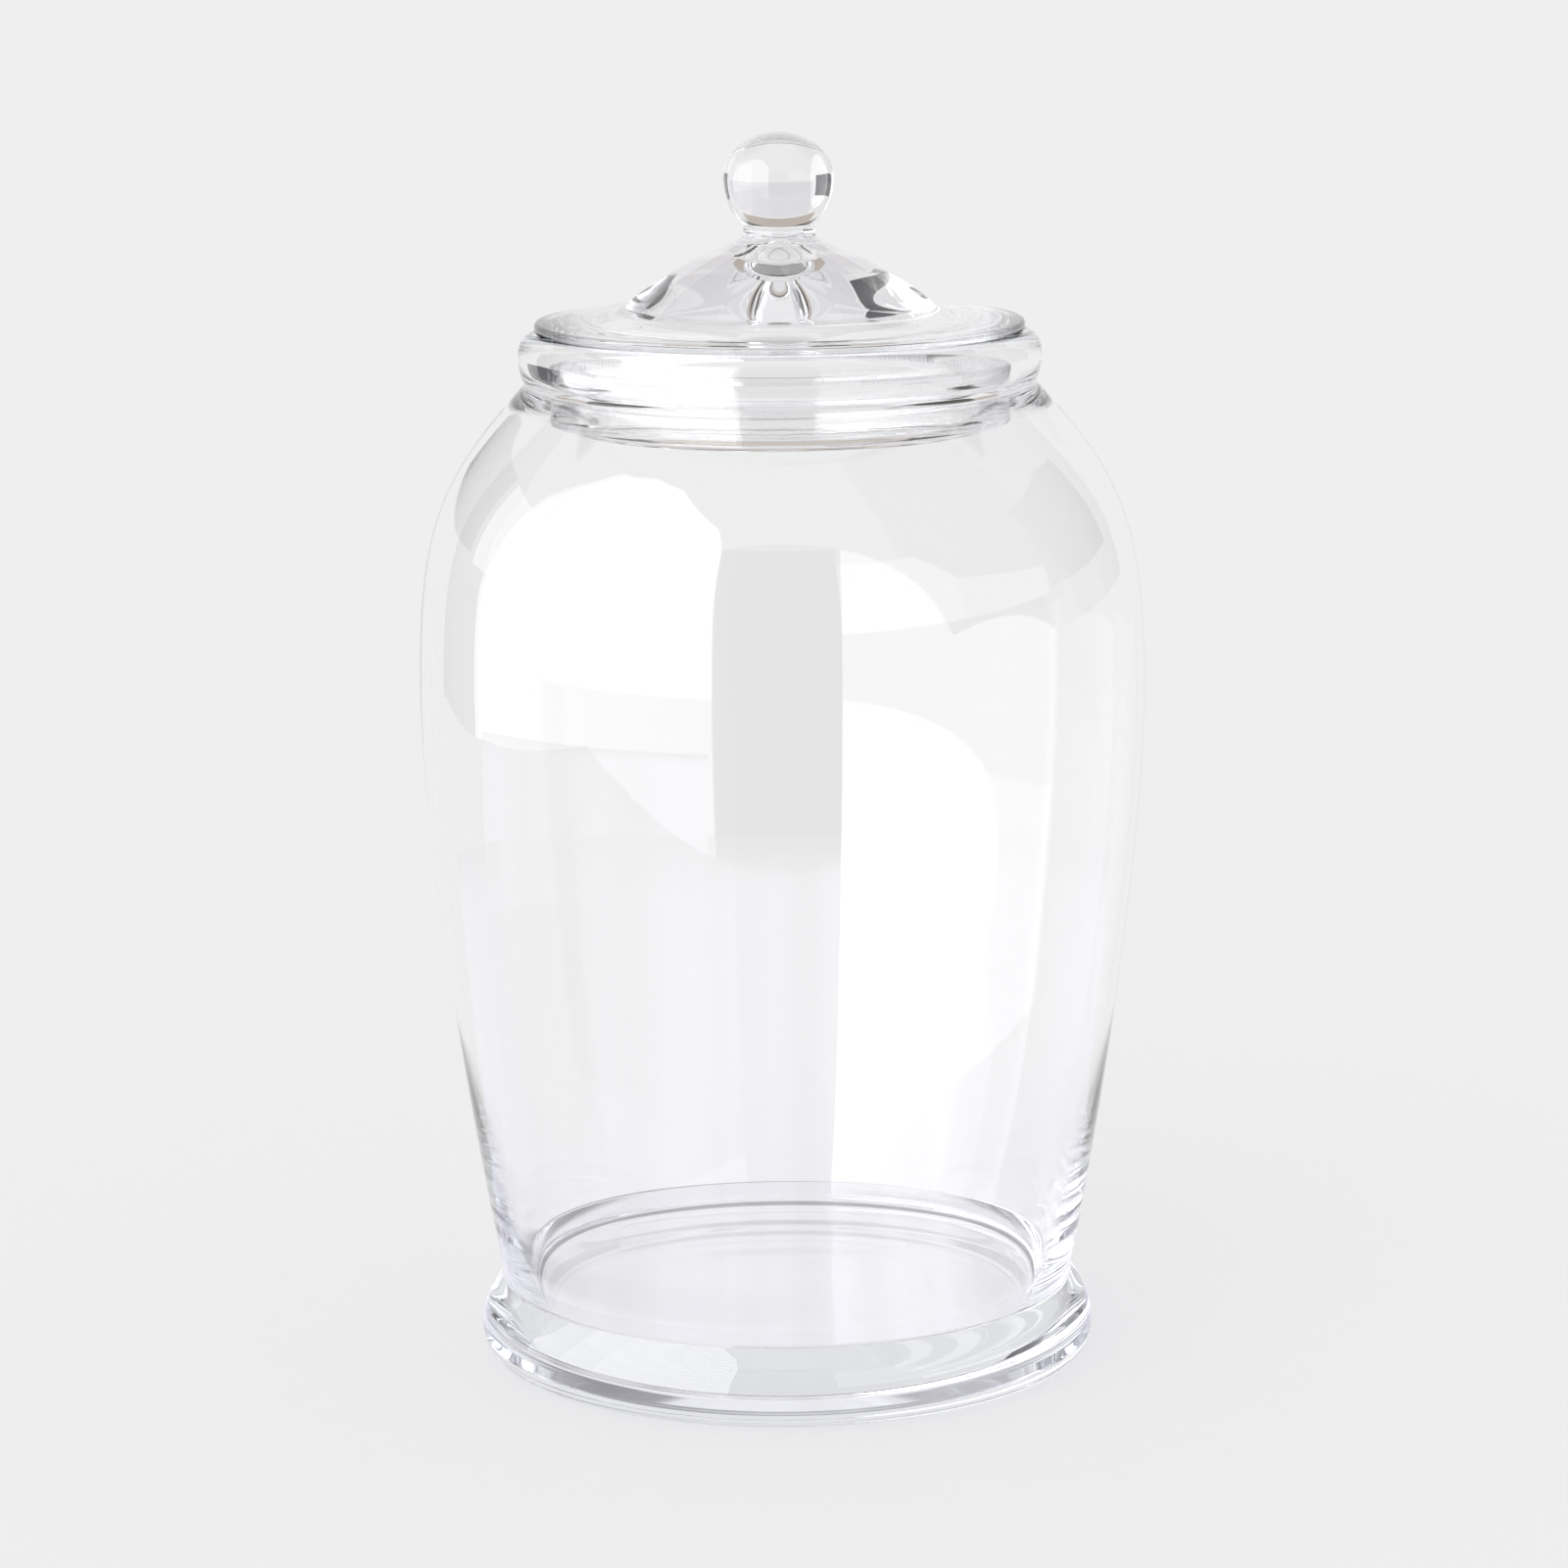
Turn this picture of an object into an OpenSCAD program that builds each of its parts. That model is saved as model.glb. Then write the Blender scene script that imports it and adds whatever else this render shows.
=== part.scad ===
// Lidded glass canister: a blown jar on a thick foot, a domed lid with a ball knob, and the clear
// seal ring round the lid's plug. Z is the axis of every piece, and the jar stands on z = 0.

/* [Jar] */
// Widest outside diameter of the jar
body_d = 216; // [190:1:240]
// Height of the widest ring above the table
belly_z = 203; // [180:1:225]
// Height of the shoulder's top, where the lip starts
shoulder_z = 295; // [280:1:320]
// Wall of the body, measured square to the glass
body_wall = 2.6; // [2:0.1:4]
// Outside diameter of the waist above the foot
waist_d = 171.8; // [160:0.2:178]
// Height of the waist above the table
waist_z = 24; // [21:0.5:30]
// Lean of the wall where it leaves the waist, in degrees from upright
waist_lean = 12.8; // [6:0.2:18]
// Slope of the shoulder where it meets the lip, in degrees above level
shoulder_slope = 48; // [38:1:60]

/* [Foot and floor] */
// Outside diameter of the foot
foot_d = 185.2; // [180:0.2:196]
// Height of the foot's widest ring, where its top starts to slope in
foot_band_z = 9.5; // [8:0.5:13]
// Slope of the foot's top where it meets the body, in degrees from upright
foot_slope = 37; // [25:1:50]
// Rounding under the foot's rim
foot_round = 7; // [4:0.5:8]
// Outside diameter of the hollow under the foot
punt_d = 140; // [120:1:150]
// Depth of the hollow under the foot
punt_h = 1; // [0.5:0.5:3]
// Height of the floor inside the jar
floor_z = 19.5; // [14:0.5:20]
// Wall at the heel, where the body meets the floor
heel_wall = 6; // [4:0.2:8]
// Height over which the heel thins to the body's wall
heel_fade = 80; // [50:5:110]
// Width of the inside rounding between the wall and the floor
heel_round = 4; // [3:0.5:8]
// Height where the wall turns into that rounding
heel_z = 22; // [21:0.5:26]

/* [Mouth and lip] */
// Bore of the mouth
mouth_d = 136.6; // [120:0.2:150]
// Width of the lip, from the bore to its widest ring
lip_w = 9; // [7.6:0.1:11]
// Height of the lip
lip_h = 14.8; // [12:0.2:18]
// Height of the lip's widest ring above the shoulder
lip_ring_z = 8.5; // [6:0.5:9.5]
// Width of the shoulder's glass under the lip
neck_wall = 6.6; // [5:0.1:7.4]
// Rounding of the mouth's upper edge
mouth_round = 0.8; // [0.4:0.1:1.2]
// Width of the flat on top of the lip, which the lid rests on
land_w = 2.2; // [1.8:0.1:3]
// Height above the shoulder where the straight bore starts
bore_h = 3.5; // [2:0.5:6]
// Length over which the inside of the shoulder turns up into the bore
bore_turn = 4; // [2:0.5:6]

/* [Lid] */
// How far the flange reaches out past the mouth's bore
flange_reach = 4.1; // [3:0.1:5]
// Thickness of the flange at its root
flange_h = 5.4; // [4:0.1:7]
// Fall of the flange's top from its root to its rim
flange_fall = 2.4; // [0.5:0.1:3]
// Diameter of the ring where the dome's skirt meets the flange
skirt_d = 108; // [102:1:114]
// Diameter of the dome at the top of its skirt
dome_d = 91.6; // [84:0.2:96]
// Height of the skirt above the flange
skirt_h = 1.7; // [0.8:0.1:3]
// Height of the dome above its skirt
dome_h = 18.7; // [14:0.1:24]
// Diameter of the ring where the hollow's ceiling starts to rise
ceiling_d = 102; // [96:1:106]
// Depth of that ring below the flange's top
ceiling_drop = 2.9; // [2.4:0.1:4]
// Diameter of the pocket under the knob, where it leaves the ceiling
pocket_d = 24; // [18:1:30]
// Height of the pocket's mouth above the ceiling's ring
pocket_rise = 12.4; // [10:0.2:14]
// Height of the pocket
pocket_h = 9.3; // [6:0.1:11]
// Length of the plug below the flange
plug_h = 29; // [26:0.5:34]
// Thickness of the plug's glass
plug_wall = 4.4; // [3:0.1:5]
// Height over which the plug's inside turns into the dome, below and above the lip's top
root_h = 4; // [2:0.5:7]

/* [Knob] */
// Diameter of the ball knob
knob_d = 32.5; // [28:0.5:38]
// Height of the ball above its widest ring
knob_top_h = 13.4; // [11:0.1:17]
// Depth of the ball below its widest ring, if it ran to a point
knob_low_h = 18; // [14:0.5:20]
// Diameter of the neck under the ball
neck_d = 21.2; // [16:0.2:24]
// Height of the neck between the dome and the ball
neck_h = 5.2; // [3:0.1:8]
// Width of the flare where the neck runs into the dome
neck_flare = 3.4; // [2:0.1:5]

/* [Seal ring] */
// Thickness of the seal's sleeve
seal_wall = 3.7; // [2.5:0.1:4.5]
// Height of the seal
seal_h = 19.5; // [14:0.5:21]
// How far the plug shows below the seal
plug_show = 1.8; // [1:0.1:3]
// Rounding under the seal's sleeve
seal_round = 0.8; // [0.4:0.1:1.2]
// How far the seal's two fins stand out from the sleeve
fin_w = 0.4; // [0.2:0.05:0.6]
// Height of each fin
fin_h = 1.6; // [1:0.1:2]

/* [Fits] */
// Gap between the seal's fins and the mouth's bore
mouth_gap = 0.3; // [0.2:0.05:0.6]
// Gap between the seal's sleeve and the plug
grip_gap = 0.15; // [0.1:0.05:0.3]

/* [Hidden] */
$fn = 128;

// Steps along one quarter round, along one long curve, and along each half of the knob
round_steps = 6;
curve_steps = 18;
knob_steps = 9;

body_r = body_d / 2;
waist_r = waist_d / 2;
foot_r = foot_d / 2;
punt_r = punt_d / 2;
mouth_r = mouth_d / 2;
lip_r = mouth_r + lip_w;
seat_z = shoulder_z + lip_h;

fin_r = mouth_r - mouth_gap;
seal_r = fin_r - fin_w;
seal_in_r = seal_r - seal_wall;
plug_r = seal_in_r - grip_gap;
plug_in_r = plug_r - plug_wall;
plug_z = seat_z - plug_h;
seal_z = plug_z + plug_show;

flange_r = mouth_r + flange_reach;
flange_z = seat_z + flange_h;
skirt_r = skirt_d / 2;
dome_r = dome_d / 2;
dome_z = flange_z + skirt_h;
dome_top_z = dome_z + dome_h;
neck_r = neck_d / 2;
neck_z = dome_top_z + neck_flare;
knob_r = knob_d / 2;
knob_cut_z = knob_low_h * sqrt(1 - pow(neck_r / knob_r, 2));
knob_z = dome_top_z + neck_h + knob_cut_z;

// A cubic curve through four points, its direction, and a list of points along it
function curve_at(p, t) = pow(1 - t, 3) * p[0] + 3 * pow(1 - t, 2) * t * p[1]
    + 3 * (1 - t) * t * t * p[2] + t * t * t * p[3];
function curve_way(p, t) = pow(1 - t, 2) * (p[1] - p[0]) + 2 * (1 - t) * t * (p[2] - p[1])
    + t * t * (p[3] - p[2]);
function curve(p, steps = curve_steps) = [for (i = [0:steps]) curve_at(p, i / steps)];

// A point on a curve, moved square to it: to the left of its way when the width is positive
function beside(p, t, w) = let (way = curve_way(p, t))
    curve_at(p, t) + w * [-way[1], way[0]] / norm(way);

// Part of an ellipse about c, from angle a to angle b
function ellipse_part(c, rx, rz, a, b, steps = round_steps) =
    [for (i = [0:steps]) let (q = a + (b - a) * i / steps) c + [rx * cos(q), rz * sin(q)]];

// A unit step at an angle above level
function level(angle) = [cos(angle), sin(angle)];

// How far each end pulls its curve straight on, as shares of the curve's height
low_pull = [0.088, 0.32];
high_pull = [0.56, 0.41];
foot_pull = [0.35, 0.35];

// The outside of the body: one curve from the waist to the belly, one from the belly to the lip
waist_pt = [waist_r, waist_z];
belly_pt = [body_r, belly_z];
neck_pt = [mouth_r + neck_wall, shoulder_z];
low_span = belly_z - waist_z;
high_span = shoulder_z - belly_z;
low_curve = [
    waist_pt,
    waist_pt + low_pull[0] * low_span * level(90 - waist_lean),
    belly_pt - [0, low_pull[1] * low_span],
    belly_pt
];
high_curve = [
    belly_pt,
    belly_pt + [0, high_pull[0] * high_span],
    neck_pt - high_pull[1] * high_span * level(180 - shoulder_slope),
    neck_pt
];

// The foot's top, a soft slope from its widest ring in to the waist
foot_rise = waist_z - foot_band_z;
foot_curve = [
    [foot_r, foot_band_z],
    [foot_r, foot_band_z + foot_pull[0] * foot_rise],
    waist_pt - foot_pull[1] * foot_rise * level(90 + foot_slope),
    waist_pt
];

// The wall is heaviest at the heel and thins to the body's wall over heel_fade
function wall_at(z) = body_wall
    + (heel_wall - body_wall) * pow(max(0, 1 - (z - waist_z) / heel_fade), 2);

// The inside of the body follows the outside, one wall away, up to the bend into the bore. The
// bend starts at this share of the upper curve.
bend_share = 0.92;
inside_low = [for (i = [0:curve_steps]) let (t = i / curve_steps)
    beside(low_curve, t, wall_at(curve_at(low_curve, t)[1]))];
inside_high = [for (i = [1:curve_steps]) let (t = bend_share * i / curve_steps)
    beside(high_curve, t, body_wall)];
bend_pt = inside_high[curve_steps - 1];
bend_way = curve_way(high_curve, bend_share) / norm(curve_way(high_curve, bend_share));
bore_z = shoulder_z + bore_h;
bend_curve = [
    bend_pt,
    bend_pt + bore_turn * bend_way,
    [mouth_r, bore_z - bore_turn],
    [mouth_r, bore_z]
];

// The lip is a roll: it tucks in this many degrees below its widest ring, and its upper part
// starts this many degrees above it
lip_tuck_angle = 75;
lip_turn_angle = 15;

module jar() {
    wall_end = inside_low[0];
    heel_r = wall_end[0] - (wall_end[1] - heel_z) * tan(waist_lean);
    outside = concat(
        [[punt_r, 0]],
        ellipse_part([foot_r - foot_round, foot_round], foot_round, foot_round, -90, 0),
        curve(foot_curve),
        [for (i = [1:curve_steps]) curve_at(low_curve, i / curve_steps)],
        [for (i = [1:curve_steps]) curve_at(high_curve, i / curve_steps)]
    );
    lip = concat(
        ellipse_part(
            [neck_pt[0], shoulder_z + lip_ring_z],
            lip_r - neck_pt[0], lip_ring_z, -lip_tuck_angle, 0
        ),
        ellipse_part(
            [mouth_r + mouth_round + land_w, shoulder_z + lip_ring_z],
            lip_w - mouth_round - land_w, lip_h - lip_ring_z, lip_turn_angle, 90
        ),
        ellipse_part([mouth_r + mouth_round, seat_z - mouth_round], mouth_round, mouth_round, 90, 180, 4)
    );
    bend = curve(bend_curve, round_steps);
    inside = concat(
        [for (i = [round_steps:-1:1]) bend[i]],
        [for (i = [curve_steps - 1:-1:0]) inside_high[i]],
        [for (i = [curve_steps - 1:-1:0]) inside_low[i]]
    );
    heel = ellipse_part([heel_r - heel_round, heel_z], heel_round, heel_z - floor_z, 0, -90);
    punt = [for (i = [0:round_steps - 1]) let (q = i / round_steps) [punt_r * q, punt_h * (1 - q * q)]];
    color([0.9, 0.92, 0.95, 0.35])
        rotate_extrude()
            polygon(concat(punt, outside, lip, inside, heel, [[0, floor_z]]));
}

// The dome's outside, from the flare under the neck down to the top of the skirt. Each pull is a
// share of the dome's run outward and of its height.
top_pull = [0.35, 0.25];
side_pull = [0.23, 0.38];
dome_top_pt = [neck_r + neck_flare, dome_top_z];
dome_pt = [dome_r, dome_z];
dome_run = dome_r - dome_top_pt[0];
dome_curve = [
    dome_top_pt,
    dome_top_pt + [top_pull[0] * dome_run, -top_pull[1] * dome_h],
    dome_pt + [-side_pull[0] * dome_run, side_pull[1] * dome_h],
    dome_pt
];

// The skirt curves out from the dome to the flange's top. Its pulls are shares of its own run out
// and of its height.
skirt_pull = [0.3, 0.7];
skirt_end_share = 0.6;
skirt_run = skirt_r - dome_r;
skirt_curve = [
    dome_pt,
    dome_pt + [skirt_pull[0] * skirt_run, -skirt_pull[1] * skirt_h],
    [skirt_r - skirt_end_share * skirt_run, flange_z],
    [skirt_r, flange_z]
];

// The hollow under the lid: a bend in from the plug, a straight rise to the pocket's mouth, and the
// pocket, a blunt cone. The bend's pull is in root heights, and the cone's are shares of its radius.
bend_pull = 1.5;
pocket_pull = [0.15, 0.15];
root_pt = [plug_in_r, seat_z - root_h];
ceiling_pt = [ceiling_d / 2, flange_z - ceiling_drop];
pocket_pt = [pocket_d / 2, ceiling_pt[1] + pocket_rise];
pocket_top = [0, pocket_pt[1] + pocket_h];
ceiling_way = (pocket_pt - ceiling_pt) / norm(pocket_pt - ceiling_pt);
root_curve = [
    root_pt,
    root_pt + [0, root_h],
    ceiling_pt - bend_pull * root_h * ceiling_way,
    ceiling_pt
];
pocket_curve = [
    pocket_pt,
    pocket_pt + pocket_pull[0] * pocket_pt[0] * ceiling_way,
    pocket_top + [pocket_pull[1] * pocket_pt[0], 0],
    pocket_top
];

// Share of the rim's height that is rounded from below
rim_share = 0.6;

module lid() {
    knob_cut = asin(knob_cut_z / knob_low_h);
    rim_h = flange_h - flange_fall;
    rim_low = rim_share * rim_h;
    rim_high = rim_h - rim_low;
    plug_round = plug_wall / 2;
    knob = concat(
        ellipse_part([0, knob_z], knob_r, knob_top_h, 90, 0, knob_steps),
        [for (i = [1:knob_steps]) let (q = -knob_cut * i / knob_steps)
            [knob_r * cos(q), knob_z + knob_low_h * sin(q)]]
    );
    flare = ellipse_part([neck_r + neck_flare, neck_z], neck_flare, neck_flare, 180, 250);
    skirt = curve(skirt_curve, round_steps);
    rim = concat(
        ellipse_part([flange_r - rim_high, seat_z + rim_low], rim_high, rim_high, 90, 0),
        ellipse_part([flange_r - rim_low, seat_z + rim_low], rim_low, rim_low, -15, -90)
    );
    plug_end = ellipse_part([plug_r - plug_round, plug_z + plug_round], plug_round, plug_round, 0, -180, 10);
    color([0.9, 0.92, 0.95, 0.35])
        rotate_extrude()
            polygon(concat(
                knob, flare,
                [for (i = [1:curve_steps]) curve_at(dome_curve, i / curve_steps)],
                [for (i = [1:round_steps]) skirt[i]], rim,
                [[plug_r, seat_z]], plug_end, curve(root_curve, round_steps), curve(pocket_curve)
            ));
}

module seal_ring() {
    top_z = seal_z + seal_h;
    color([0.95, 0.95, 0.97, 0.5])
        rotate_extrude()
            polygon(concat(
                [[seal_in_r, seal_z]],
                ellipse_part([seal_r - seal_round, seal_z + seal_round], seal_round, seal_round, -90, 0),
                [
                    [seal_r, top_z - 4.5 * fin_h],
                    [fin_r, top_z - 4 * fin_h],
                    [seal_r, top_z - 3.5 * fin_h],
                    [seal_r, top_z - fin_h],
                    [fin_r, top_z - 0.5 * fin_h],
                    [seal_r, top_z],
                    [seal_in_r, top_z]
                ]
            ));
}

jar();
lid();
seal_ring();
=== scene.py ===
import bpy
import numpy as np
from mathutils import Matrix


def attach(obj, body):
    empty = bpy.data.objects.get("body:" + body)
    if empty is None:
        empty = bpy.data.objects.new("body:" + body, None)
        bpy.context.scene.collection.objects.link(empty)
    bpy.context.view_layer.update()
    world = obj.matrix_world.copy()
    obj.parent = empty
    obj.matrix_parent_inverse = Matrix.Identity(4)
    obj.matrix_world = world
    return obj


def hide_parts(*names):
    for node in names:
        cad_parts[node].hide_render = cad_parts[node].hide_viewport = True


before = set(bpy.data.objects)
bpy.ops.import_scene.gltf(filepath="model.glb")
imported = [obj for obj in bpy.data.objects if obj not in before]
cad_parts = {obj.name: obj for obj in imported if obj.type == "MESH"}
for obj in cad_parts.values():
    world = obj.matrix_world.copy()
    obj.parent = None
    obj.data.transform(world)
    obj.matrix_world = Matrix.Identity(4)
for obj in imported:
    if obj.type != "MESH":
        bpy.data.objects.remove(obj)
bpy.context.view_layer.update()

mm = 0.001  # in metres
up = np.array([0.0, 1.0])
print("canister: frame loaded")


# Curves in the (radius, height) plane, in millimetres

def bezier(a, b, c, d, steps, width=None):
    # cubic curve: the four points weighted by (1-t)^3, 3(1-t)^2 t, 3(1-t)t^2 and t^3. With a width, which
    # may be a function of the curve's height, each point is moved that far to the left of the curve's way
    t = np.linspace(0, 1, steps + 1)[:, None]
    a, b, c, d = (np.array(p, float) for p in (a, b, c, d))
    path = (1 - t) ** 3 * a + 3 * (1 - t) ** 2 * t * b + 3 * (1 - t) * t * t * c + t ** 3 * d
    if width is None:
        return path
    way = (1 - t) ** 2 * (b - a) + 2 * (1 - t) * t * (c - b) + t * t * (d - c)
    left = np.column_stack([-way[:, 1], way[:, 0]]) / np.linalg.norm(way, axis=1)[:, None]
    return path + left * (width(path[:, 1:]) if callable(width) else width)


def oval(centre, rx, rz, start, end, steps=14):
    # part of an ellipse: centre + (rx cos q, rz sin q), q in degrees from start to end
    q = np.radians(np.linspace(start, end, steps + 1))[:, None]
    return np.array(centre, float) + np.hstack([rx * np.cos(q), rz * np.sin(q)])


def leaning(angle):
    # a unit step at an angle in degrees above level
    return np.array([np.cos(np.radians(angle)), np.sin(np.radians(angle))])


def joined(*paths, closest=1e-4):
    # paths end to end, without a point that repeats the one before it
    path = np.vstack([np.atleast_2d(p) for p in paths])
    keep = np.r_[True, np.linalg.norm(np.diff(path, axis=0), axis=1) > closest]
    return path[keep]


def finely(path, longest):
    # the same path with straight stretches cut into steps no longer than longest
    parts = []
    for a, b in zip(path[:-1], path[1:]):
        n = max(1, int(np.ceil(np.linalg.norm(b - a) / longest)))
        parts.append(a + (b - a) * np.arange(n)[:, None] / n)
    return np.vstack(parts + [path[-1:]])


def turned(name, path, segments=256, closed=False):
    # surface of revolution: point (r, z) at angle q goes to (r cos q, r sin q, z). A path from axis to
    # axis ends in two poles, and a closed path has none
    poles = [] if closed else [path[0], path[-1]]
    ring = path if closed else path[1:-1]
    q = np.linspace(0, 2 * np.pi, segments, endpoint=False)[None, :]
    r = np.repeat(ring[:, :1], segments, axis=1)
    z = np.repeat(ring[:, 1:], segments, axis=1)
    points = np.stack([r * np.cos(q), r * np.sin(q), z], axis=2).reshape(-1, 3)
    rows = len(ring)
    i = np.arange(rows if closed else rows - 1)[:, None]
    j = np.arange(segments)[None, :]
    nextRow, nextCol = (i + 1) % rows, (j + 1) % segments
    quads = np.stack(np.broadcast_arrays(
        i * segments + j, i * segments + nextCol, nextRow * segments + nextCol, nextRow * segments + j
    ), axis=2).reshape(-1, 4).tolist()
    tris = []
    if poles:
        bottom, top = len(points), len(points) + 1
        points = np.vstack([points, [[0, 0, poles[0][1]], [0, 0, poles[1][1]]]])
        last = (rows - 1) * segments
        k = np.arange(segments)
        n = (k + 1) % segments
        tris = np.column_stack([n, k, np.full(segments, bottom)]).tolist()
        tris += np.column_stack([last + k, last + n, np.full(segments, top)]).tolist()
    mesh = bpy.data.meshes.new(name)
    mesh.from_pydata((points * mm).tolist(), [], quads + tris)
    mesh.shade_smooth()
    mesh.update()
    obj = bpy.data.objects.new(name, mesh)
    bpy.context.scene.collection.objects.link(obj)
    print(f"canister: {name} has {len(points)} points and {len(mesh.polygons)} faces")
    return obj


# The jar, from the middle of its foot out, up over the lip, and down the inside to the floor

def jarPath():
    s = dict(
        bodyR=108, bellyZ=203, shoulderZ=295, shoulderSlope=48, waistR=85.9, waistZ=24, waistLean=12.8,
        lowPull=(0.088, 0.32), highPull=(0.56, 0.41), lowSteps=70, highSteps=60, puntPoints=14,
        footR=92.6, footBand=9.5, footRound=7, footSlope=37, footPull=0.35, puntR=70, puntH=1,
        wall=2.6, heelWall=6, heelFade=80, heelRound=4, heelZ=22, floorZ=19.5,
        mouthR=68.3, lipW=9, lipH=14.8, lipRingZ=8.5, lipStart=-75, mouthRound=0.8, landW=2.2,
        neckWall=6.6, boreH=3.5, boreStart=0.92, boreTurn=4, longest=6,
    )  # the part's own sizes; a pull is a curve's handle as a share of the curve's height
    waist = np.array([s["waistR"], s["waistZ"]])
    belly = np.array([s["bodyR"], s["bellyZ"]])
    neck = np.array([s["mouthR"] + s["neckWall"], s["shoulderZ"]])

    # The shallow hollow under the foot, the foot, and the outside up to the neck
    q = np.linspace(0, 1, s["puntPoints"])[:, None]
    punt = np.hstack([s["puntR"] * q, s["puntH"] * (1 - q * q)])
    footRim = oval([s["footR"] - s["footRound"], s["footRound"]], s["footRound"], s["footRound"], -90, 0)
    pull = s["footPull"] * (s["waistZ"] - s["footBand"])
    foot = bezier([s["footR"], s["footBand"]], [s["footR"], s["footBand"] + pull],
                  waist - pull * leaning(90 + s["footSlope"]), waist, steps=20)
    lowSpan, highSpan = belly[1] - waist[1], neck[1] - belly[1]
    lowEnds = (waist, waist + s["lowPull"][0] * lowSpan * leaning(90 - s["waistLean"]),
               belly - s["lowPull"][1] * lowSpan * up, belly, s["lowSteps"])
    highEnds = (belly, belly + s["highPull"][0] * highSpan * up,
                neck - s["highPull"][1] * highSpan * leaning(180 - s["shoulderSlope"]), neck,
                s["highSteps"])
    low, high = bezier(*lowEnds), bezier(*highEnds)

    # The lip: a rolled outer edge, a flat land for the lid, and a small rounding into the mouth
    lipR, ringZ = s["mouthR"] + s["lipW"], s["shoulderZ"] + s["lipRingZ"]
    seat = s["shoulderZ"] + s["lipH"]
    land = s["mouthR"] + s["mouthRound"] + s["landW"]
    soft = s["mouthRound"]
    lip = joined(
        oval([neck[0], ringZ], lipR - neck[0], s["lipRingZ"], s["lipStart"], 0, steps=10),
        oval([land, ringZ], lipR - land, seat - ringZ, 0, 90, steps=16),
        oval([land - s["landW"], seat - soft], soft, soft, 90, 180, steps=6),
    )

    def lowWall(z):
        # wall + (heelWall - wall) u^2, where u falls from 1 at the waist to 0 at heelFade above it
        u = np.clip(1 - (z - s["waistZ"]) / s["heelFade"], 0, 1)
        return s["wall"] + (s["heelWall"] - s["wall"]) * u ** 2

    # The inside: it leaves the shoulder's curve at boreStart of its way, to bend into the upright bore
    insideLow = bezier(*lowEnds, width=lowWall)
    insideHigh = bezier(*highEnds, width=s["wall"])[: int(s["boreStart"] * s["highSteps"]) + 1]
    boreZ = s["shoulderZ"] + s["boreH"]
    way = insideHigh[-1] - insideHigh[-2]
    bend = bezier(insideHigh[-1], insideHigh[-1] + s["boreTurn"] * way / np.linalg.norm(way),
                  [s["mouthR"], boreZ - s["boreTurn"]], [s["mouthR"], boreZ], steps=12)
    heelR = insideLow[0, 0] - (insideLow[0, 1] - s["heelZ"]) * np.tan(np.radians(s["waistLean"]))
    heel = oval([heelR - s["heelRound"], s["heelZ"]], s["heelRound"], s["heelZ"] - s["floorZ"], 0, -90)
    return finely(joined(punt, footRim, foot, low, high, lip, bend[::-1], insideHigh[::-1],
                         insideLow[::-1], heel, [0, s["floorZ"]]), s["longest"])


# The lid, from the crown of its hollow down the plug and back up over the flange to the knob's top

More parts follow.
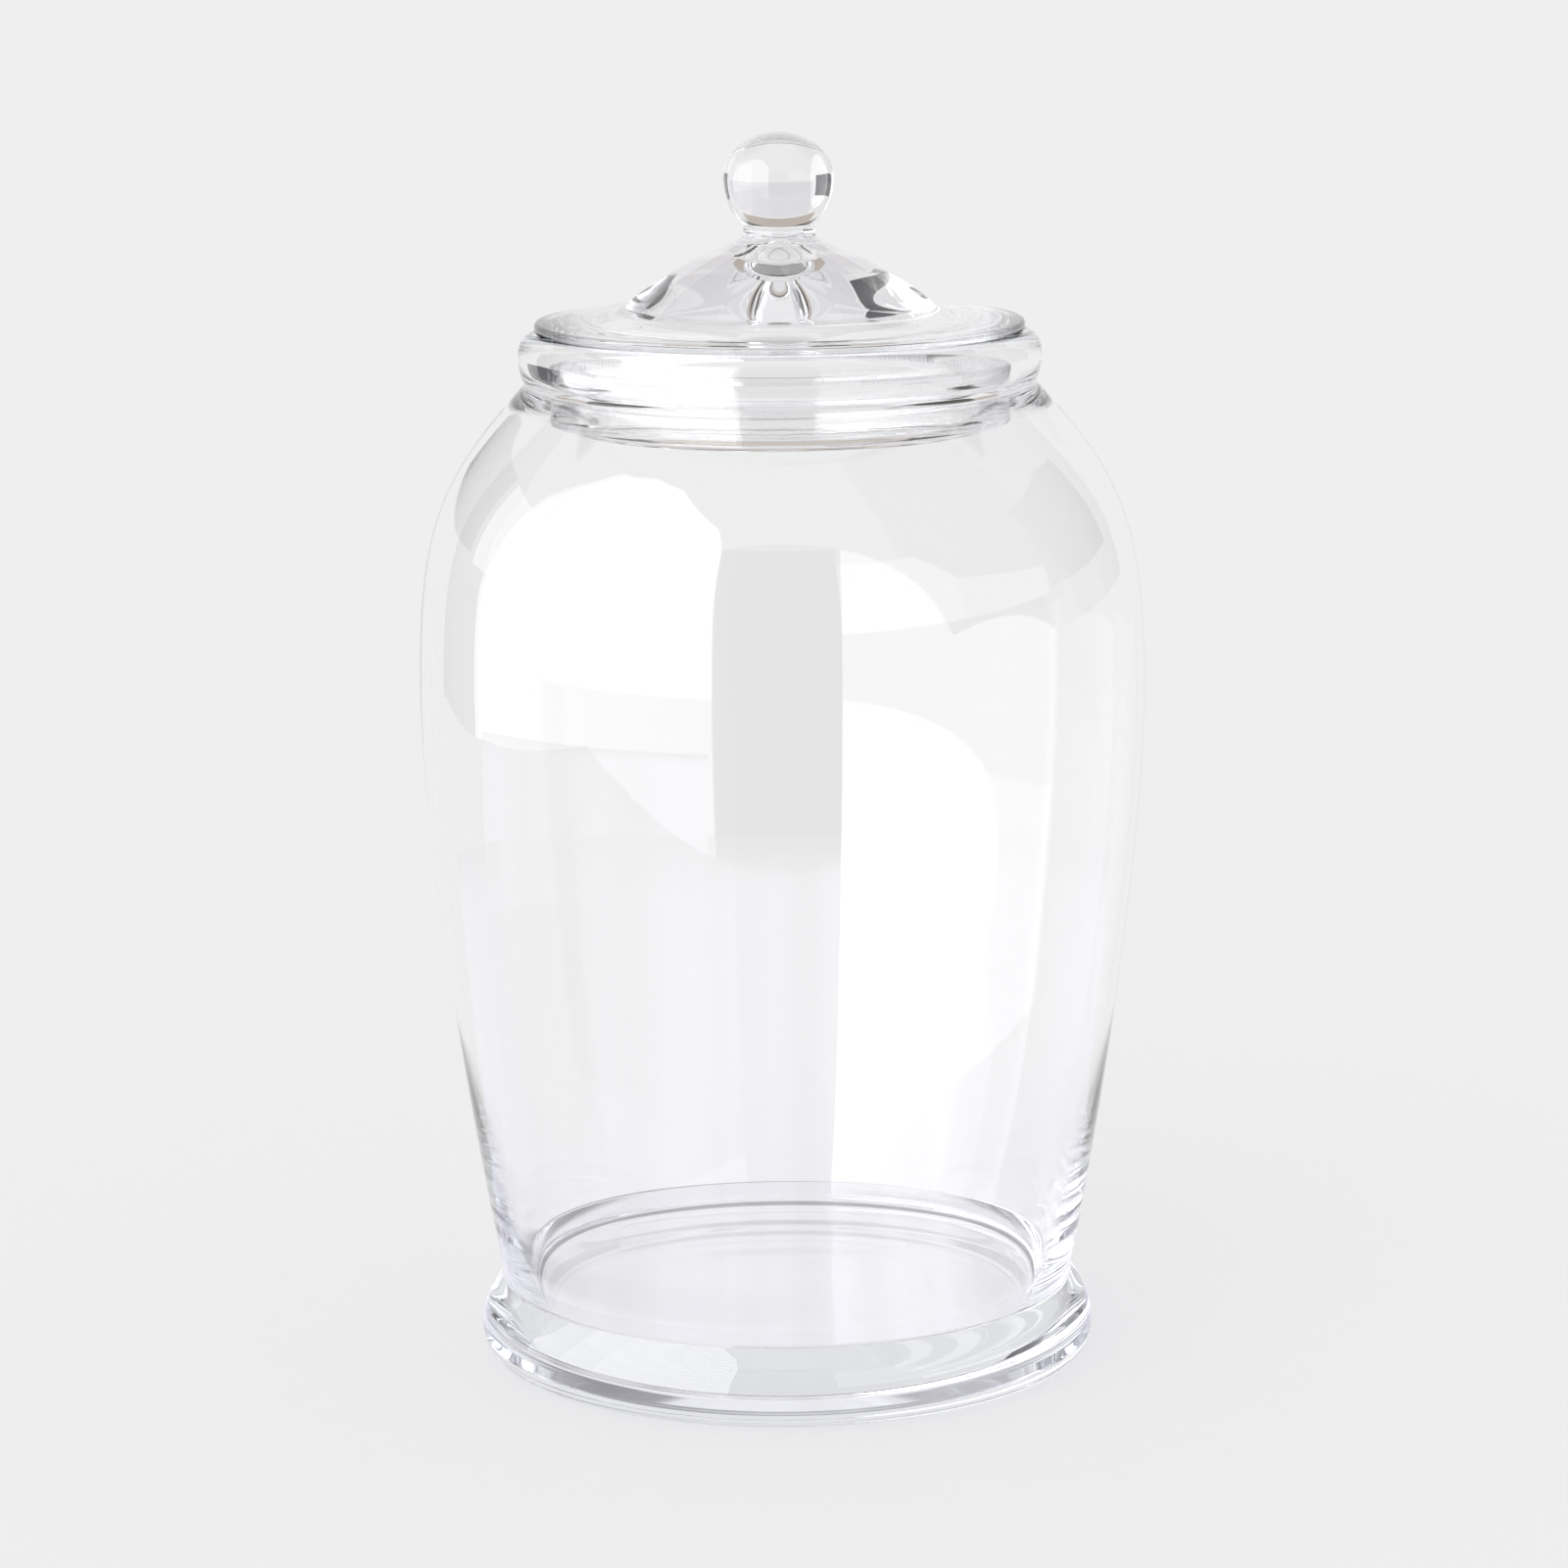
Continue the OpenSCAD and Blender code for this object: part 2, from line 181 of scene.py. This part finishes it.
def lidPath():
    s = dict(
        seat=309.85, mouthR=68.3, reach=4.1, flangeH=5.35, fall=2.4, rimShare=0.6,
        domeR=45.8, domeH=18.7, domeTopPull=(0.35, -0.25), domePull=(-0.23, 0.38),
        skirtR=54, skirtH=1.7, skirtPull=(0.3, -0.7), skirtEndPull=(-0.6, 0),
        plugZ=280.8, plugR=63.75, plugWall=4.4, rootH=4, rootPull=1.5,
        ceilingR=51, ceilingDrop=2.9, pocketR=12, pocketRise=12.4, pocketH=9.3, pocketPull=0.15,
        knobR=16.25, knobTop=13.4, knobLow=18, neckR=10.6, neckH=5.2, flare=3.4, flareEnd=250, longest=5,
    )  # the part's own sizes; the seat is 0.05 mm high so that the two glasses don't share a face
    flangeR, flangeZ = s["mouthR"] + s["reach"], s["seat"] + s["flangeH"]
    domeZ = flangeZ + s["skirtH"]
    topZ = domeZ + s["domeH"]

    # The knob ends where its lower half is as narrow as the neck, and the neck flares into the dome
    cut = np.sqrt(1 - (s["neckR"] / s["knobR"]) ** 2)
    knobZ = topZ + s["neckH"] + s["knobLow"] * cut
    knob = joined(oval([0, knobZ], s["knobR"], s["knobTop"], 90, 0, steps=40),
                  oval([0, knobZ], s["knobR"], s["knobLow"], 0, -np.degrees(np.arcsin(cut)), steps=24))
    flare = oval([s["neckR"] + s["flare"], topZ + s["flare"]], s["flare"], s["flare"],
                 180, s["flareEnd"], steps=12)

    # The dome and the skirt round it: their pulls are shares of the curve's run and of its height
    domeTop, dome = np.array([s["neckR"] + s["flare"], topZ]), np.array([s["domeR"], domeZ])
    domeSize = np.array([dome[0] - domeTop[0], s["domeH"]])
    domeLine = bezier(domeTop, domeTop + domeSize * s["domeTopPull"],
                      dome + domeSize * s["domePull"], dome, steps=54)
    skirtEnd = np.array([s["skirtR"], flangeZ])
    skirtSize = np.array([s["skirtR"] - s["domeR"], s["skirtH"]])
    skirt = bezier(dome, dome + skirtSize * s["skirtPull"],
                   skirtEnd + skirtSize * s["skirtEndPull"], skirtEnd, steps=14)

    # The flange's rim, rounder below than above, and the plug's round end
    rimH = s["flangeH"] - s["fall"]
    rimLow = s["rimShare"] * rimH
    rimHigh = rimH - rimLow
    rim = joined(oval([flangeR - rimHigh, s["seat"] + rimLow], rimHigh, rimHigh, 90, 0),
                 oval([flangeR - rimLow, s["seat"] + rimLow], rimLow, rimLow, 0, -90, steps=10))
    half = s["plugWall"] / 2
    plugEnd = oval([s["plugR"] - half, s["plugZ"] + half], half, half, 0, -180, steps=24)
    outside = joined(knob, flare, domeLine, skirt, rim, [s["plugR"], s["seat"]], plugEnd)

    # The hollow: from the plug's root to a sloping ceiling, and up into the round pocket under the knob
    root = np.array([s["plugR"] - s["plugWall"], s["seat"] - s["rootH"]])
    ceiling = np.array([s["ceilingR"], flangeZ - s["ceilingDrop"]])
    pocket = np.array([s["pocketR"], ceiling[1] + s["pocketRise"]])
    pocketTop = np.array([0, pocket[1] + s["pocketH"]])
    rising = (pocket - ceiling) / np.linalg.norm(pocket - ceiling)
    rootLine = bezier(root, root + s["rootH"] * up,
                      ceiling - s["rootPull"] * s["rootH"] * rising, ceiling, steps=18)
    pull = s["pocketPull"] * s["pocketR"]
    pocketLine = bezier(pocket, pocket + pull * rising, pocketTop + [pull, 0], pocketTop, steps=40)
    return finely(joined(outside, rootLine, pocketLine), s["longest"])[::-1]


# The seal's section: a sleeve on the plug with two small fins against the mouth

def sealPath():
    s = dict(inR=63.9, outR=67.6, finR=68.0, low=282.6, high=302.1, soft=0.8, finH=1.6, finDrops=(4, 0.5),
             longest=3)  # the part's own sizes; a drop is from the top to a fin's middle, in fin heights
    fins = []
    for drop in s["finDrops"]:
        z = s["high"] - drop * s["finH"]
        fins += [[s["outR"], z - s["finH"] / 2], [s["finR"], z], [s["outR"], z + s["finH"] / 2]]
    corner = oval([s["outR"] - s["soft"], s["low"] + s["soft"]], s["soft"], s["soft"], -90, 0, steps=8)
    return finely(joined([s["inR"], s["low"]], corner, fins, [s["inR"], s["high"]]), s["longest"])


# Materials

def fromHex(code):
    # sRGB hex to linear: c/12.92 below 0.04045, else ((c+0.055)/1.055)^2.4
    c = np.array([int(code[i:i + 2], 16) for i in (1, 3, 5)]) / 255
    return (*np.where(c <= 0.04045, c / 12.92, ((c + 0.055) / 1.055) ** 2.4).tolist(), 1.0)


def addNode(tree, kind, **values):
    # one node. A name is an input's, or _0, _1 and so on for an input's number: a socket is linked to it,
    # and any other value is set on it. A name with no such input is a property of the node
    node = tree.nodes.new(kind)
    for name, value in values.items():
        key = int(name[1:]) if name[0] == "_" else name.replace("_", " ")
        if isinstance(key, str) and key not in node.inputs:
            setattr(node, name, value)
        elif isinstance(value, bpy.types.NodeSocket):
            tree.links.new(value, node.inputs[key])
        else:
            node.inputs[key].default_value = value
    return node


def newMaterial(name):
    material = bpy.data.materials.new(name)
    material.use_nodes = True
    material.node_tree.nodes.clear()
    return material, material.node_tree


def ramped(tree, value, ramps):
    # the value times each ramp, which is first + (last - first) t^2 (3 - 2t), with t going from 0 to 1 as
    # the ramp's source goes from start to end
    for source, start, end, first, last in ramps:
        ramp = addNode(tree, "ShaderNodeMapRange", interpolation_type="SMOOTHSTEP", Value=source,
                       From_Min=start, From_Max=end, To_Min=first, To_Max=last).outputs[0]
        value = addNode(tree, "ShaderNodeMath", operation="MULTIPLY", _0=ramp, _1=value).outputs[0]
    return value


def glassMaterial(name, s):
    # bends what lies behind it, lets shadow rays through pale, and takes a tint with depth. Its bump is
    # noise on the place divided by the waves' size
    material, tree = newMaterial(name)
    coords = addNode(tree, "ShaderNodeTexCoord").outputs["Object"]
    perMetre = (1 / (np.array(s["waveSize"]) * mm)).tolist()
    place = addNode(tree, "ShaderNodeVectorMath", operation="MULTIPLY", _0=coords, _1=perMetre).outputs[0]
    noise = addNode(tree, "ShaderNodeTexNoise", Vector=place, Scale=1.0, Detail=2.0, Roughness=0.45)
    bump = addNode(tree, "ShaderNodeBump", Strength=1.0, Distance=s["waveDepth"] * mm,
                   Height=noise.outputs[0])
    glass = addNode(
        tree, "ShaderNodeBsdfPrincipled", Base_Color=fromHex(s["colour"]), Roughness=s["roughness"],
        IOR=s["ior"], Transmission_Weight=1.0, Normal=bump.outputs[0],
    )
    clear = addNode(tree, "ShaderNodeBsdfTransparent", Color=fromHex(s["shade"]))
    path = addNode(tree, "ShaderNodeLightPath")
    passing = addNode(tree, "ShaderNodeMath", operation="MAXIMUM", _0=path.outputs["Is Shadow Ray"],
                      _1=path.outputs["Is Diffuse Ray"])
    mixed = addNode(tree, "ShaderNodeMixShader", _0=passing.outputs[0], _1=glass.outputs[0],
                    _2=clear.outputs[0])
    tint = addNode(tree, "ShaderNodeVolumeAbsorption", Color=fromHex(s["tint"]), Density=s["density"])
    addNode(tree, "ShaderNodeOutputMaterial", Surface=mixed.outputs[0], Volume=tint.outputs[0])
    return material


# Pieces

jar = turned("jar", jarPath())
lid = turned("lid", lidPath())
sealRing = turned("sealRing", sealPath(), closed=True)

# Soda-lime glass, blown: clear, with tall faint waves that stir its reflections, and cool where it is
# thick. The waves' size and depth are in millimetres
jarGlass = dict(colour="#FFFFFF", roughness=0.0, ior=1.5, tint="#D6DBE5", density=2.0, shade="#FCFCFD",
                waveSize=(71.43, 71.43, 250), waveDepth=0.03)
jar.data.materials.append(glassMaterial("clear soda-lime glass of the jar", jarGlass))

# The lid's glass is the same, with waves that are shorter and alike every way
lidGlass = dict(jarGlass, waveSize=(41.67, 41.67, 41.67))
lid.data.materials.append(glassMaterial("clear soda-lime glass of the lid", lidGlass))

# Silicone, moulded: it bends light less than glass, and its skin is a little cloudy and uneven
sealSilicone = dict(jarGlass, ior=1.41, roughness=0.03, tint="#ECEDF2", density=8.0, waveSize=(5, 5, 5))
sealRing.data.materials.append(glassMaterial("clear silicone", sealSilicone))

for piece, node, body, slotName in (
    (jar, "jar", "jar", "jar_glass"),
    (lid, "lid", "lid", "lid_glass"),
    (sealRing, "seal_ring", "lid", "seal_silicone"),
):
    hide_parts(node)
    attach(piece, body)
print("canister: pieces placed")


# Studio, in metres: a pale floor in a pale world. Softboxes, dim walls and a bright table stand round the
# object, and they are seen only in its glass

paper = fromHex("#EFEFEF")[0]
arcSteps, riseSteps = 60, 2  # along a card or a piece of table, and up a card


def stageMesh(name, points, faces, material, hiddenFrom=()):
    # a mesh of the studio, which the named kinds of ray pass by
    mesh = bpy.data.meshes.new(name)
    mesh.from_pydata(points, [], faces)
    mesh.materials.append(material)
    obj = bpy.data.objects.new(name, mesh)
    for ray in hiddenFrom:
        setattr(obj, f"visible_{ray}", False)
    bpy.context.scene.collection.objects.link(obj)


def gridFaces(rows, columns):
    # a quad for each cell of a grid whose points are listed row by row
    i, j = np.arange(rows)[:, None], np.arange(columns)[None, :]
    near = i * (columns + 1) + j
    far = near + columns + 1
    return np.stack([near, near + 1, far + 1, far], axis=2).reshape(-1, 4).tolist()


def lightMaterial(name, s):
    # a plain glow. Unless it is seen through the glass, only a ray that has been reflected meets it
    material, tree = newMaterial(name)
    look = addNode(tree, "ShaderNodeEmission", Color=fromHex(s["colour"]), Strength=s["strength"])
    if not s.get("seenThrough"):
        reflections = addNode(tree, "ShaderNodeLightPath").outputs["Glossy Depth"]
        reflected = addNode(tree, "ShaderNodeMath", operation="GREATER_THAN", _0=reflections, _1=0.5)
        clear = addNode(tree, "ShaderNodeBsdfTransparent")
        look = addNode(tree, "ShaderNodeMixShader", _0=reflected.outputs[0], _1=clear.outputs[0],
                       _2=look.outputs[0])
    addNode(tree, "ShaderNodeOutputMaterial", Surface=look.outputs[0])
    return material


def card(name, s):
    # part of an upright drum round the object: x = R sin a, y = -R cos a, with a in degrees from the
    # camera's side, negative to the left. The low and high edges are read off between the listed angles
    a = np.linspace(s["at"][0], s["at"][-1], arcSteps + 1)
    low, high = (np.interp(a, s["at"], np.broadcast_to(s[edge], len(s["at"]))) for edge in ("low", "high"))
    z = low + (high - low) * np.linspace(0, 1, riseSteps + 1)[:, None]
    x, y = (np.broadcast_to(f(np.radians(a)) * s["radius"], z.shape) for f in (np.sin, np.cos))
    points = np.stack([x, -y, z], axis=2).reshape(-1, 3).tolist()
    stageMesh(name, points, gridFaces(riseSteps, arcSteps), lightMaterial(name, s),
              ("camera", "diffuse", "shadow") + s.get("hiddenFrom", ()))


# A large bright softbox on the left, falling off to its outer edge, and a small weak one on the right
white = dict(radius=1.3, colour="#FCFCFF")
card("left softbox", dict(white, at=(-75, -65, -49, -24, -21), low=0.1, high=(1.9, 2.1, 2.13, 1.44, 1.1),
                          strength=3.6))
card("left softbox middle", dict(white, at=(-91, -81, -75), low=0.1, high=(1.42, 1.82, 1.9), strength=3.0))
card("left softbox edge", dict(white, at=(-109, -105, -101, -92, -91), low=-0.3,
                               high=(0.3, 0.52, 1.06, 1.41, 1.42), strength=2.3))
card("bright floor under the left softbox", dict(white, at=(-91, -21), low=-0.3, high=0.1, strength=2.4))
card("right softbox", dict(white, at=(18, 45, 58), low=0.35, high=(0.9, 0.9, 0.62), strength=1.5))
card("right softbox edge", dict(white, at=(58, 92), low=0.35, high=(0.62, 0.5), strength=1.2))

# The dim room: the front between the softboxes and below the right one, the right wall, and the corners.
# The cards near the object, at a radius of 0.5, are for the lid alone
throughOnly = dict(seenThrough=True, hiddenFrom=("glossy",))  # seen through the glass, not reflected in it
reflectedOnly = dict(hiddenFrom=("transmission",))  # reflected in the glass, not seen through it
dim = dict(radius=1.3, colour="#F4F0F6")
card("dark right wall", dict(dim, radius=1.34, at=(40, 100), low=0.3, high=3.2, strength=0.6))
card("dark right corner", dict(dim, radius=0.5, at=(88, 112, 124), low=0.285, high=(0.53, 0.53, 0.48),
                               strength=0.12, **throughOnly))
card("dark front", dict(radius=1.32, colour="#FFFFFF", at=(-21, 18), low=-0.3, high=1.15, strength=0.3))
card("dark front right", dict(radius=1.31, colour="#FFFFFF", at=(18, 92), low=-0.3, high=0.35,
                              strength=0.5))
card("dim left corner", dict(dim, at=(-130, -120, -109), low=-0.3, high=(1.2, 1.3, 0.9), strength=0.35,
                             **reflectedOnly))
card("dim right corner", dict(dim, at=(96, 136), low=0.2, high=2.2, strength=0.5, **reflectedOnly))
card("dark left corner behind", dict(dim, radius=0.5, at=(-150, -131, -115), low=(0.3, 0.29, 0.3),
                                     high=(0.43, 0.46, 0.5), strength=0.12, **throughOnly))
card("white card beside the lid", dict(white, radius=0.5, at=(-112, -91), low=0.29, high=0.5, strength=2.3,
                                       **throughOnly))

# Behind the object: a shelf, a wall and a ceiling, and a dim card that the lid's dome shows
card("dark back wall", dict(radius=1.3, colour="#B8A890", at=(105, 255), low=1.4, high=2.3,
                            strength=0.12, seenThrough=True))
card("dim back ceiling", dict(radius=1.3, colour="#F8F6F4", at=(105, 255), low=2.3, high=3.2,
                              strength=0.35, seenThrough=True))
card("dim backdrop", dict(radius=0.3, colour="#F8F6FA", at=(130, 207), low=0.345, high=0.48,
                          strength=0.8, **throughOnly))
card("brown back shelf", dict(radius=1.3, colour="#FFF2E6", at=(140, 220), low=0.98, high=1.4,
                              strength=0.5, seenThrough=True))


def tableLight(name, s):
    # part of a flat ring on the table: x = r sin a, y = -r cos a. It is seen only as a reflection in the
    # glass. Its extra light is greatest in front, fades outward and is streaked along its radii
    material, tree = newMaterial(name)
    coords = addNode(tree, "ShaderNodeTexCoord").outputs["Object"]
    way = addNode(tree, "ShaderNodeVectorMath", operation="NORMALIZE", _0=coords).outputs["Vector"]
    length = addNode(tree, "ShaderNodeVectorMath", operation="LENGTH", _0=coords).outputs["Value"]
    streaks = addNode(tree, "ShaderNodeTexNoise", Vector=way, Scale=s["streaks"], Detail=3.0).outputs[0]
    forward = addNode(tree, "ShaderNodeSeparateXYZ", Vector=way).outputs["Y"]
    extra = ramped(tree, s["extra"], (
        (length, *s["fade"], 1.0, 0.0),
        (forward, *s["turn"], 1.0, s["side"]),
        (streaks, *s["streakNoise"], *s["streakLight"]),
    ))
    total = addNode(tree, "ShaderNodeMath", operation="ADD", _0=extra, _1=paper).outputs[0]
    glow = addNode(tree, "ShaderNodeEmission", Color=fromHex(s["colour"]), Strength=total)
    addNode(tree, "ShaderNodeOutputMaterial", Surface=glow.outputs[0])
    a, r = np.radians(np.linspace(*s["at"], arcSteps + 1)), np.array(s["radii"])[:, None]
    points = np.stack(np.broadcast_arrays(np.sin(a) * r, -np.cos(a) * r, s["lift"]), axis=2)
    stageMesh(name, points.reshape(-1, 3).tolist(), gridFaces(1, arcSteps), material,
              ("camera", "diffuse", "transmission", "shadow"))


brightTable = dict(colour="#F1EEFF", lift=0.0005, turn=(-1.0, -0.2),
                   streaks=5.0, streakNoise=(0.3, 0.7), streakLight=(0.7, 1.3))
tableLight("bright table in front", dict(brightTable, at=(-125, 125), radii=(0.1, 0.64), fade=(0.5, 0.64),
                                         side=0.15, extra=2.2))
tableLight("bright table on the left", dict(brightTable, at=(-105, -22), radii=(0.5, 1.15),
                                            fade=(1.0, 1.15), side=0.4, extra=1.8))


def paperWithPaintedShadow(name, grey, s):
    # matt paper with painted shadow: grey times (1 - depth) for each painted shadow ring, for a ray that
    # has come through the glass. A ring's depth rises from start to full and falls from hold to end, and
    # to the share right across the middle
    material, tree = newMaterial(name)
    place = addNode(tree, "ShaderNodeTexCoord").outputs["Object"]
    length = addNode(tree, "ShaderNodeVectorMath", operation="LENGTH", _0=place).outputs["Value"]
    across = addNode(tree, "ShaderNodeSeparateXYZ", Vector=place).outputs["X"]
    through = addNode(tree, "ShaderNodeLightPath").outputs["Is Transmission Ray"]
    # each ring is a painted shadow, darkening the floor only where it is seen through the glass
    for ring in s["paintedShadowRings"]:
        depth = ramped(tree, through, (
            (length, ring["start"], ring["full"], 0.0, ring["depth"]),
            (length, ring["hold"], ring["end"], 1.0, 0.0),
            (across, *s["middle"], 1.0, ring["right"]),
        ))
        rest = addNode(tree, "ShaderNodeMath", operation="SUBTRACT", _0=1.0, _1=depth).outputs[0]
        grey = addNode(tree, "ShaderNodeMath", operation="MULTIPLY", _0=grey, _1=rest).outputs[0]
    matt = addNode(tree, "ShaderNodeBsdfDiffuse", Color=grey)
    addNode(tree, "ShaderNodeOutputMaterial", Surface=matt.outputs[0])
    return material


# Painted shadow on the floor under the glass, seen only through it: dark where the foot's rounding meets
# the floor, and in a band round the foot
floorSheet = dict(
    left=-1.03, right=0.8, front=-0.54, back=1.6, z=-0.0001, middle=(-0.02, 0.03),
    paintedShadowRings=(dict(start=0.0868, full=0.0885, hold=0.092, end=0.096, depth=0.7, right=1.0),
           dict(start=0.102, full=0.108, hold=0.116, end=0.124, depth=0.75, right=0.25)),
)
sunLight = dict(light=0.2, width=35, tilt=(32, -22))  # the light it adds on the floor, and degrees
corners = [(floorSheet[x], floorSheet[y], floorSheet["z"]) for x, y in (
    ("left", "front"), ("right", "front"), ("right", "back"), ("left", "back"))]
# The floor's own grey, times the world's light and the sun's together, comes out as paper
stageMesh("floor", corners, [(0, 1, 2, 3)],
          paperWithPaintedShadow("matt pale paper with painted shadow rings", paper / (paper + sunLight["light"]), floorSheet))

# The sun: its strength times the cosines of its tilts, over pi, is the light it adds
sunTilt = np.radians(sunLight["tilt"])
sunLamp = bpy.data.lights.new("large soft key", "SUN")
sunLamp.angle = np.radians(sunLight["width"])
sunLamp.energy = sunLight["light"] * np.pi / (np.cos(sunTilt[0]) * np.cos(sunTilt[1]))
sun = bpy.data.objects.new("large soft key", sunLamp)
sun.rotation_euler = (*sunTilt, 0)
sun.visible_glossy = sun.visible_transmission = sun.visible_camera = False
bpy.context.scene.collection.objects.link(sun)

world = bpy.data.worlds.new("studio")
bpy.context.scene.world = world
world.use_nodes = True
background = world.node_tree.nodes["Background"]
background.inputs["Color"].default_value = (paper, paper, paper, 1)
background.inputs["Strength"].default_value = 1.0

# The camera: its place in metres, its turns in degrees, and its lens and film in millimetres
view = dict(place=(0, -1.558, 0.473), down=10.89, roll=0.45, turn=-0.095, lens=121.5, film=36)
cameraData = bpy.data.cameras.new("camera")
cameraData.lens, cameraData.sensor_width = view["lens"], view["film"]
camera = bpy.data.objects.new("camera", cameraData)
camera.location = view["place"]
camera.rotation_euler = np.radians([90 - view["down"], view["roll"], view["turn"]])
bpy.context.scene.collection.objects.link(camera)
bpy.context.scene.camera = camera

# Many bounces, because a ray crosses the glass of the jar, the lid and the seal again and again
scene = bpy.context.scene
scene.view_settings.view_transform = "Standard"
scene.cycles.max_bounces = 48
scene.cycles.transmission_bounces = 32
scene.cycles.glossy_bounces = 24
scene.cycles.transparent_max_bounces = 24
print("canister: studio ready")
